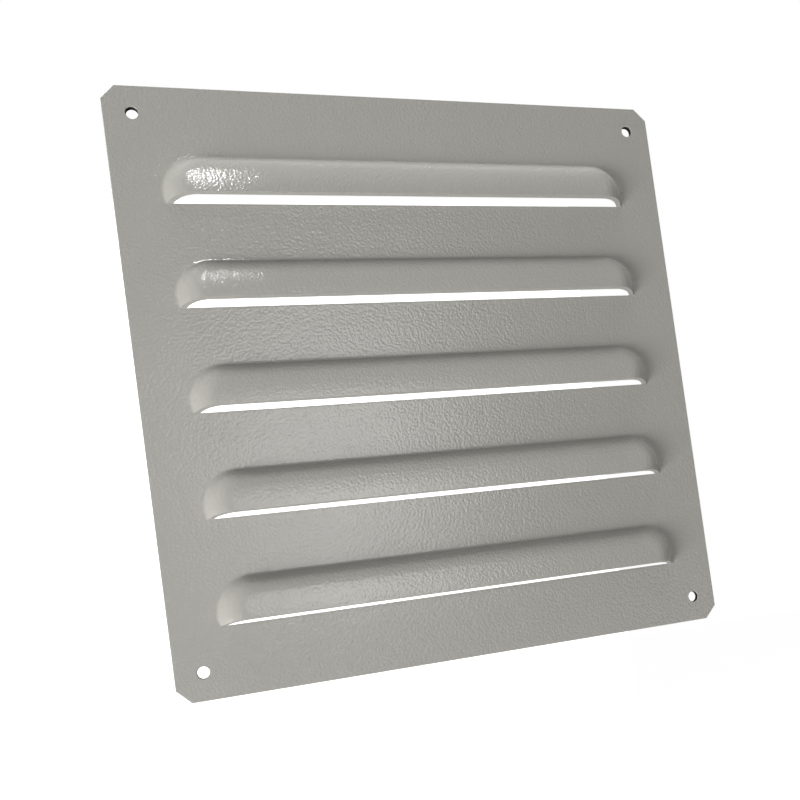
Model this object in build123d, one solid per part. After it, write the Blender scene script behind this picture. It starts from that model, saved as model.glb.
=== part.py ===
from build123d import *
from math import asin, cos, radians, sin, sqrt, tan
import os

# Ventilation grille for an enclosure: one square of sheet steel, blanked, lanced and
# pressed in one piece. Rows of louvres bulge from its front and open downwards, and four
# screw holes fix it over a cut-out. The sheet is drawn lying on its back, front side up,
# with the slits along X, and is stood up at the end. All sizes are in millimetres.

# Flat blank
plate_width = 220.0
plate_height = 220.0
sheet = 1.6
corner_cut = 5.0
edge_round = 0.3

# Screw holes, one in each corner
hole_diameter = 4.3
hole_deburr = 0.25
hole_inset = 10.0

# Rows of louvres, as many as the plate has room for
louvre_pitch = 38.0
side_margin = 17.3
row_margin = 20.0

# Outline of one louvre on the face of the plate: straight along the top, with round ends
# that turn in a little where the slit cuts them off below their centres
louvre_depth = 17.0
slit_below_centres = 4.0
end_angle = 120.0

# Section of one louvre, from its lip up to its root on the plate
lip_height = 5.9
lip_setback = 1.4
lip_slope = 2.0
crown_radius = 50.0
shoulder_radius = 11.0
wall_angle = 50.0
root_radius = 1.5

louvre_length = plate_width - 2 * side_margin
end_radius = louvre_depth - slit_below_centres
end_spacing = louvre_length - 2 * end_radius

# A flat margin joins a louvre to the plate, and a strip below the slit is sheared off
pad_margin = 2 * root_radius
waste = 2 * pad_margin
pad_length = louvre_length + 2 * pad_margin

half_wall_turn = radians(wall_angle / 2)
root_width = root_radius * tan(half_wall_turn)
footprint = louvre_depth + root_width
louvre_count = int((plate_height - 2 * row_margin - footprint) / louvre_pitch) + 1

# The crown is part of a cylinder along the louvre that passes through the lip
crown_y = lip_setback - crown_radius * sin(radians(lip_slope))
crown_z = sheet + lip_height - crown_radius * cos(radians(lip_slope))
crown_rise = crown_z + crown_radius - sheet


def shoulder_limit():
    """Largest shoulder radius that fits on the low wall at the back of the louvre."""
    wall = radians(wall_angle)
    to_root_y = louvre_depth - crown_y
    to_root_z = sheet - crown_z
    along = to_root_y * cos(wall) - to_root_z * sin(wall)
    inside = crown_radius**2 - to_root_y**2 - to_root_z**2
    slant = along + sqrt(along**2 + inside)
    crown_angle = asin((to_root_y - slant * cos(wall)) / crown_radius)
    return (slant - root_width) / tan((wall - crown_angle) / 2)


# A twentieth of the low wall stays straight where the shoulder would take all of it
shoulder = min(shoulder_radius, 0.95 * shoulder_limit())


def louvre_outline(radius):
    """Outline with ends of the given radius, which run on straight below the slit."""
    end = CenterArc((-end_spacing / 2, slit_below_centres), radius, 90, end_angle)
    top = Line((0, slit_below_centres + radius), end @ 0)
    tail = Line(end @ 1, end @ 1 + (end % 1) * louvre_depth)
    foot = Line(tail @ 1, (0, (tail @ 1).Y))
    half = [top, end, tail, foot]
    return make_face(half + [mirror(line, about=Plane.YZ) for line in half])


def louvre_form(depth):
    """Solid that fills the louvre up to a surface lying depth under its outside."""
    outline = louvre_outline(end_radius - depth * tan(half_wall_turn))
    walls = extrude(Pos(0, 0, sheet - depth) * outline, amount=crown_rise + sheet, taper=90 - wall_angle)
    crown = Pos(0, crown_y, crown_z) * Rot(0, 90, 0) * Cylinder(crown_radius - depth, pad_length)
    form = split(walls & crown, bisect_by=Plane.ZX.offset(-waste), keep=Keep.TOP)
    crown_edges = form.faces().filter_by(GeomType.CYLINDER)[0].edges()
    cut_edges = crown_edges.filter_by_position(Axis.Y, -waste, -waste)
    return fillet(crown_edges - cut_edges, shoulder - depth)


def root_edges(bump, level):
    """Edges where a louvre meets its flat margin at the given level."""
    half_length = (louvre_length + pad_margin) / 2
    edges = bump.edges().filter_by_position(Axis.Z, level, level)
    edges = edges.filter_by_position(Axis.X, -half_length, half_length)
    return edges.filter_by_position(Axis.Y, -waste / 2, louvre_depth + pad_margin / 2)


def louvre():
    """One louvre with its flat margin, sheared open at the lip; its slit lies on y = 0."""
    pad_width = waste + louvre_depth + pad_margin
    pad_outline = Pos(0, pad_width / 2 - waste, 0) * Rectangle(pad_length, pad_width)
    pad = extrude(pad_outline, amount=sheet)
    bump = pad + louvre_form(0)
    bump = fillet(root_edges(bump, sheet), root_radius)
    bump = bump - louvre_form(sheet)
    bump = fillet(root_edges(bump, 0), root_radius + sheet)
    lip_face = Plane(origin=(0, 0, sheet), x_dir=(1, 0, 0), z_dir=(0, lip_height, -lip_setback))
    return split(bump, bisect_by=lip_face, keep=Keep.TOP)


def blank():
    """Flat sheet with its front edges rounded, and screw holes deburred from the front."""
    outline = chamfer(Rectangle(plate_width, plate_height).vertices(), corner_cut)
    plate = extrude(outline, amount=sheet)
    plate = fillet(plate.faces().sort_by(Axis.Z)[-1].edges(), edge_round)
    hole_pitch_x = plate_width - 2 * hole_inset
    hole_pitch_y = plate_height - 2 * hole_inset
    hole = extrude(Circle(hole_diameter / 2), amount=sheet)
    plate -= GridLocations(hole_pitch_x, hole_pitch_y, 2, 2) * hole
    rims = plate.edges().filter_by(GeomType.CIRCLE).filter_by_position(Axis.Z, sheet, sheet)
    return chamfer(rims, hole_deburr)


def louvred_plate():
    """The blank with its rows of louvres, centred on it, stood up with the front facing -Y."""
    window_depth = louvre_depth + pad_margin
    window = extrude(Pos(0, window_depth / 2, 0) * Rectangle(pad_length, window_depth), amount=sheet)
    rows = [Pos(0, -footprint / 2, 0) * row for row in GridLocations(0, louvre_pitch, 1, louvre_count)]
    pressed = louvre()
    plate = blank()
    plate -= [row * window for row in rows]
    plate += [row * pressed for row in rows]
    return Rot(90, 0, 0) * plate


os.makedirs("parts", exist_ok=True)
export_step(louvred_plate(), "parts/louvred_plate.step")
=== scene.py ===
import math

import bpy
from mathutils import Matrix, Vector

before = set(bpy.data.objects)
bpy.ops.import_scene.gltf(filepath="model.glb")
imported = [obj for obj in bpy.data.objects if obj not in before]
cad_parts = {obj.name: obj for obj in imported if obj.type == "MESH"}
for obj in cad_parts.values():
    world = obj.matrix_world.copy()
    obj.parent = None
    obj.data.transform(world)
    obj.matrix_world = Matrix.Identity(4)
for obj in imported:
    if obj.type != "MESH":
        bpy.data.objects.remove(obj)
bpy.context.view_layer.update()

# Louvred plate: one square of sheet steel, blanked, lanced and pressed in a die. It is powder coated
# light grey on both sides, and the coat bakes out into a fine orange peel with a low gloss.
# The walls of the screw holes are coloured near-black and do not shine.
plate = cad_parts["louvred_plate"]

COAT_GREY = (0.345, 0.337, 0.310, 1)
COAT_SHADE = (0.325, 0.320, 0.297, 1)
COAT_CLOUD_SIZE = 0.030
COAT_CLOUD_DETAIL = 2.0
COAT_ROUGHNESS = (0.17, 0.24)
COAT_ROUGHNESS_DETAIL = 4.0
COAT_SHINE = 0.5
PEEL_SIZE = 0.0011
PEEL_HEIGHT = 0.00009
PEEL_BLEND = 0.6
PEEL_RIPPLE_DETAIL = 1.0
NOISE_SPACING = 1.6
# Near-black colour given to the walls of the screw holes
DARK_HOLE_WALL = (0.020, 0.017, 0.015, 1)
HOLE_OFFSET = 0.100
HOLE_REACH = 0.00222

coat = bpy.data.materials.new("grey_powder_coat")
coat.use_nodes = True
nodes = coat.node_tree.nodes
links = coat.node_tree.links
shader = nodes["Principled BSDF"]

place = nodes.new("ShaderNodeTexCoord")


def coat_noise(size, detail):
    """Noise on the coat whose spots are about this far apart, in metres: at a scale of 1, NOISE_SPACING."""
    noise = nodes.new("ShaderNodeTexNoise")
    noise.inputs["Scale"].default_value = NOISE_SPACING / size
    noise.inputs["Detail"].default_value = detail
    links.new(place.outputs["Object"], noise.inputs["Vector"])
    return noise.outputs["Fac"]


# The orange peel is domes of paint that ran into each other, with some ripple on them
domes = nodes.new("ShaderNodeTexVoronoi")
domes.feature = "SMOOTH_F1"
domes.inputs["Scale"].default_value = 1 / PEEL_SIZE
domes.inputs["Smoothness"].default_value = PEEL_BLEND
links.new(place.outputs["Object"], domes.inputs["Vector"])
ripple = nodes.new("ShaderNodeMath")
ripple.operation = "SUBTRACT"
links.new(coat_noise(PEEL_SIZE, PEEL_RIPPLE_DETAIL), ripple.inputs[0])
links.new(domes.outputs["Distance"], ripple.inputs[1])
peel = nodes.new("ShaderNodeBump")
peel.inputs["Strength"].default_value = 1.0
peel.inputs["Distance"].default_value = PEEL_HEIGHT
links.new(ripple.outputs[0], peel.inputs["Height"])
links.new(peel.outputs["Normal"], shader.inputs["Normal"])

# A hole's wall is what lies close to its axis: the plate is symmetrical, so one corner stands for all
axes = nodes.new("ShaderNodeSeparateXYZ")
links.new(place.outputs["Object"], axes.inputs[0])
aside = nodes.new("ShaderNodeCombineXYZ")
for axis in ("X", "Z"):
    unsigned = nodes.new("ShaderNodeMath")
    unsigned.operation = "ABSOLUTE"
    links.new(axes.outputs[axis], unsigned.inputs[0])
    links.new(unsigned.outputs[0], aside.inputs[axis])
to_axis = nodes.new("ShaderNodeVectorMath")
to_axis.operation = "DISTANCE"
to_axis.inputs[1].default_value = (HOLE_OFFSET, 0, HOLE_OFFSET)
links.new(aside.outputs[0], to_axis.inputs[0])
hole_wall = nodes.new("ShaderNodeMath")
hole_wall.operation = "LESS_THAN"
hole_wall.inputs[1].default_value = HOLE_REACH
links.new(to_axis.outputs["Value"], hole_wall.inputs[0])

# The coat shines and the near-black walls of the holes do not
shine = nodes.new("ShaderNodeMath")
shine.operation = "MULTIPLY_ADD"
shine.inputs[1].default_value = -COAT_SHINE
shine.inputs[2].default_value = COAT_SHINE
links.new(hole_wall.outputs[0], shine.inputs[0])
links.new(shine.outputs[0], shader.inputs["Specular IOR Level"])

cloud = nodes.new("ShaderNodeMix")
cloud.data_type = "RGBA"
cloud.inputs["A"].default_value = COAT_GREY
cloud.inputs["B"].default_value = COAT_SHADE
links.new(coat_noise(COAT_CLOUD_SIZE, COAT_CLOUD_DETAIL), cloud.inputs["Factor"])
# The walls of the screw holes take the near-black colour
colour = nodes.new("ShaderNodeMix")
colour.data_type = "RGBA"
colour.inputs["B"].default_value = DARK_HOLE_WALL
links.new(hole_wall.outputs[0], colour.inputs["Factor"])
links.new(cloud.outputs["Result"], colour.inputs["A"])
links.new(colour.outputs["Result"], shader.inputs["Base Color"])

gloss = nodes.new("ShaderNodeMapRange")
gloss.inputs["To Min"].default_value = COAT_ROUGHNESS[0]
gloss.inputs["To Max"].default_value = COAT_ROUGHNESS[1]
links.new(coat_noise(COAT_CLOUD_SIZE, COAT_ROUGHNESS_DETAIL), gloss.inputs["Value"])
links.new(gloss.outputs[0], shader.inputs["Roughness"])

plate.data.materials.clear()
plate.data.materials.append(coat)

# Studio paper: a plain pale floor well below the plate, which hangs in the air as if it were screwed
# to an enclosure, and a sheet of the same paper behind it. A glow that lights nothing keeps it white.
FLOOR_DROP = 0.90
FLOOR_SIZE = 12.0
SHEET_BEHIND = 1.10
SHEET_WIDTH = 1.50
SHEET_HEIGHT = 1.60
PAPER = (0.80, 0.80, 0.79, 1)
PAPER_ROUGHNESS = 0.9
PAPER_GLOW = 0.90

paper = bpy.data.materials.new("studio_paper")
paper.use_nodes = True
nodes = paper.node_tree.nodes
links = paper.node_tree.links
shader = nodes["Principled BSDF"]
shader.inputs["Base Color"].default_value = PAPER
shader.inputs["Roughness"].default_value = PAPER_ROUGHNESS
shader.inputs["Emission Color"].default_value = (1, 1, 1, 1)


def looked_at(tree):
    """Two switches that are 1 for a ray that looks and 0 for light.

    The first counts looking straight or through glass, and the second counts reflections as well.
    """
    ray = tree.nodes.new("ShaderNodeLightPath")
    straight = tree.nodes.new("ShaderNodeMath")
    straight.operation = "MAXIMUM"
    tree.links.new(ray.outputs["Is Camera Ray"], straight.inputs[0])
    tree.links.new(ray.outputs["Is Transmission Ray"], straight.inputs[1])
    either = tree.nodes.new("ShaderNodeMath")
    either.operation = "MAXIMUM"
    tree.links.new(straight.outputs[0], either.inputs[0])
    tree.links.new(ray.outputs["Is Glossy Ray"], either.inputs[1])
    return straight.outputs[0], either.outputs[0]


glow = nodes.new("ShaderNodeMath")
glow.operation = "MULTIPLY"
glow.inputs[1].default_value = PAPER_GLOW
links.new(looked_at(paper.node_tree)[1], glow.inputs[0])
links.new(glow.outputs[0], shader.inputs["Emission Strength"])


def paper_sheet(name, width, length):
    """Flat sheet of paper about the origin, facing up."""
    x = width / 2
    y = length / 2
    mesh = bpy.data.meshes.new(name)
    mesh.from_pydata([(-x, -y, 0), (x, -y, 0), (x, y, 0), (-x, y, 0)], [], [(0, 1, 2, 3)])
    mesh.materials.append(paper)
    sheet = bpy.data.objects.new(name, mesh)
    bpy.context.scene.collection.objects.link(sheet)
    return sheet


floor = paper_sheet("floor", FLOOR_SIZE, FLOOR_SIZE)
floor.location.z = -FLOOR_DROP
backdrop = paper_sheet("backdrop", SHEET_WIDTH, SHEET_HEIGHT)
backdrop.location = (0, SHEET_BEHIND, SHEET_HEIGHT / 2 - FLOOR_DROP)
backdrop.rotation_euler.x = math.radians(90)

# Studio light: soft lamps in a dim room, which the camera sees as plain white behind everything.
# The largest stands low on the left, so the louvres' tops and right ends are the dark sides. A strip
# level with the plate lights the top louvre most, and a lamp with a snoot makes its coat sparkle.
ROOM_LIGHT = 0.11
ROOM_SEEN = 1.0
PLATE_MIDDLE = (0, 0, 0)
SNOOT_PLACE = (-0.085, -0.2325, 0.343)
SNOOT_AIM = (-0.078, -0.0075, 0.062)
SNOOT_ANGLE = 7.0
SNOOT_BLEND = 1.0
SNOOT_RADIUS = 0.012
SNOOT_POWER = 3.2

room = bpy.data.worlds.new("studio")
room.use_nodes = True
bpy.context.scene.world = room
level = room.node_tree.nodes.new("ShaderNodeMix")
level.data_type = "FLOAT"
level.inputs["A"].default_value = ROOM_LIGHT
level.inputs["B"].default_value = ROOM_SEEN
walls = room.node_tree.nodes["Background"]
walls.inputs["Color"].default_value = (1, 1, 1, 1)
room.node_tree.links.new(looked_at(room.node_tree)[0], level.inputs["Factor"])
room.node_tree.links.new(level.outputs["Result"], walls.inputs["Strength"])


def hang_lamp(lamp, place, aim, lights, reflected):
    """Lamp at a place, facing its aim, that may only light the plate or only be reflected in it."""
    holder = bpy.data.objects.new(lamp.name, lamp)
    holder.location = place
    holder.rotation_euler = (Vector(aim) - Vector(place)).to_track_quat("-Z", "Y").to_euler()
    holder.visible_camera = False
    holder.visible_diffuse = lights
    holder.visible_glossy = reflected
    bpy.context.scene.collection.objects.link(holder)


def soft_lamp(name, place, width, height, power, lights=True, reflected=True):
    """Soft box that faces the middle of the plate."""
    lamp = bpy.data.lights.new(name, "AREA")
    lamp.shape = "RECTANGLE"
    lamp.size = width
    lamp.size_y = height
    lamp.energy = power
    hang_lamp(lamp, place, PLATE_MIDDLE, lights, reflected)


soft_lamp("key_lamp", (-1.07, -0.48, -0.57), 0.50, 0.50, 21.2, reflected=False)
soft_lamp("front_lamp", (0.12, -0.87, 0.15), 0.36, 0.45, 2.3)
soft_lamp("top_lamp", (0.10, -0.50, 0.74), 0.60, 0.20, 0.3, lights=False)
soft_lamp("grazing_lamp", (0.00, -0.02, 0.90), 1.20, 0.22, 14.5, reflected=False)
soft_lamp("overhead_lamp", (0.00, -0.30, 0.90), 0.80, 0.50, 0.8, reflected=False)
soft_lamp("back_lamp", (-0.45, 0.75, 0.75), 0.50, 0.50, 5.0)

snoot = bpy.data.lights.new("snoot_lamp", "SPOT")
snoot.spot_size = math.radians(SNOOT_ANGLE)
snoot.spot_blend = SNOOT_BLEND
snoot.shadow_soft_size = SNOOT_RADIUS
snoot.energy = SNOOT_POWER
hang_lamp(snoot, SNOOT_PLACE, SNOOT_AIM, lights=False, reflected=True)

# Camera: a short lens close to the plate, low on its left, a little rolled, as in the photograph.
# The frame is cropped from a larger picture, which the shift stands for.
CAMERA_EYE = Vector((-0.09229, -0.25873, -0.07901))
CAMERA_LOOK = Vector((0.25361, 0.96706, 0.02176)).normalized()
CAMERA_UP = Vector((0.12387, -0.05477, 0.99079))
CAMERA_SENSOR = 36
CAMERA_LENS = 31.77
CAMERA_SHIFT = 0.2125
CAMERA_NEAR = 0.01

lens = bpy.data.cameras.new("camera")
lens.sensor_width = CAMERA_SENSOR
lens.lens = CAMERA_LENS
lens.shift_y = CAMERA_SHIFT
lens.clip_start = CAMERA_NEAR
camera = bpy.data.objects.new("camera", lens)
aside_way = CAMERA_LOOK.cross(CAMERA_UP).normalized()
up_way = aside_way.cross(CAMERA_LOOK)
stand = Matrix((aside_way, up_way, -CAMERA_LOOK)).transposed().to_4x4()
stand.translation = CAMERA_EYE
camera.matrix_world = stand
bpy.context.scene.collection.objects.link(camera)
bpy.context.scene.camera = camera
bpy.context.scene.view_settings.view_transform = "Standard"
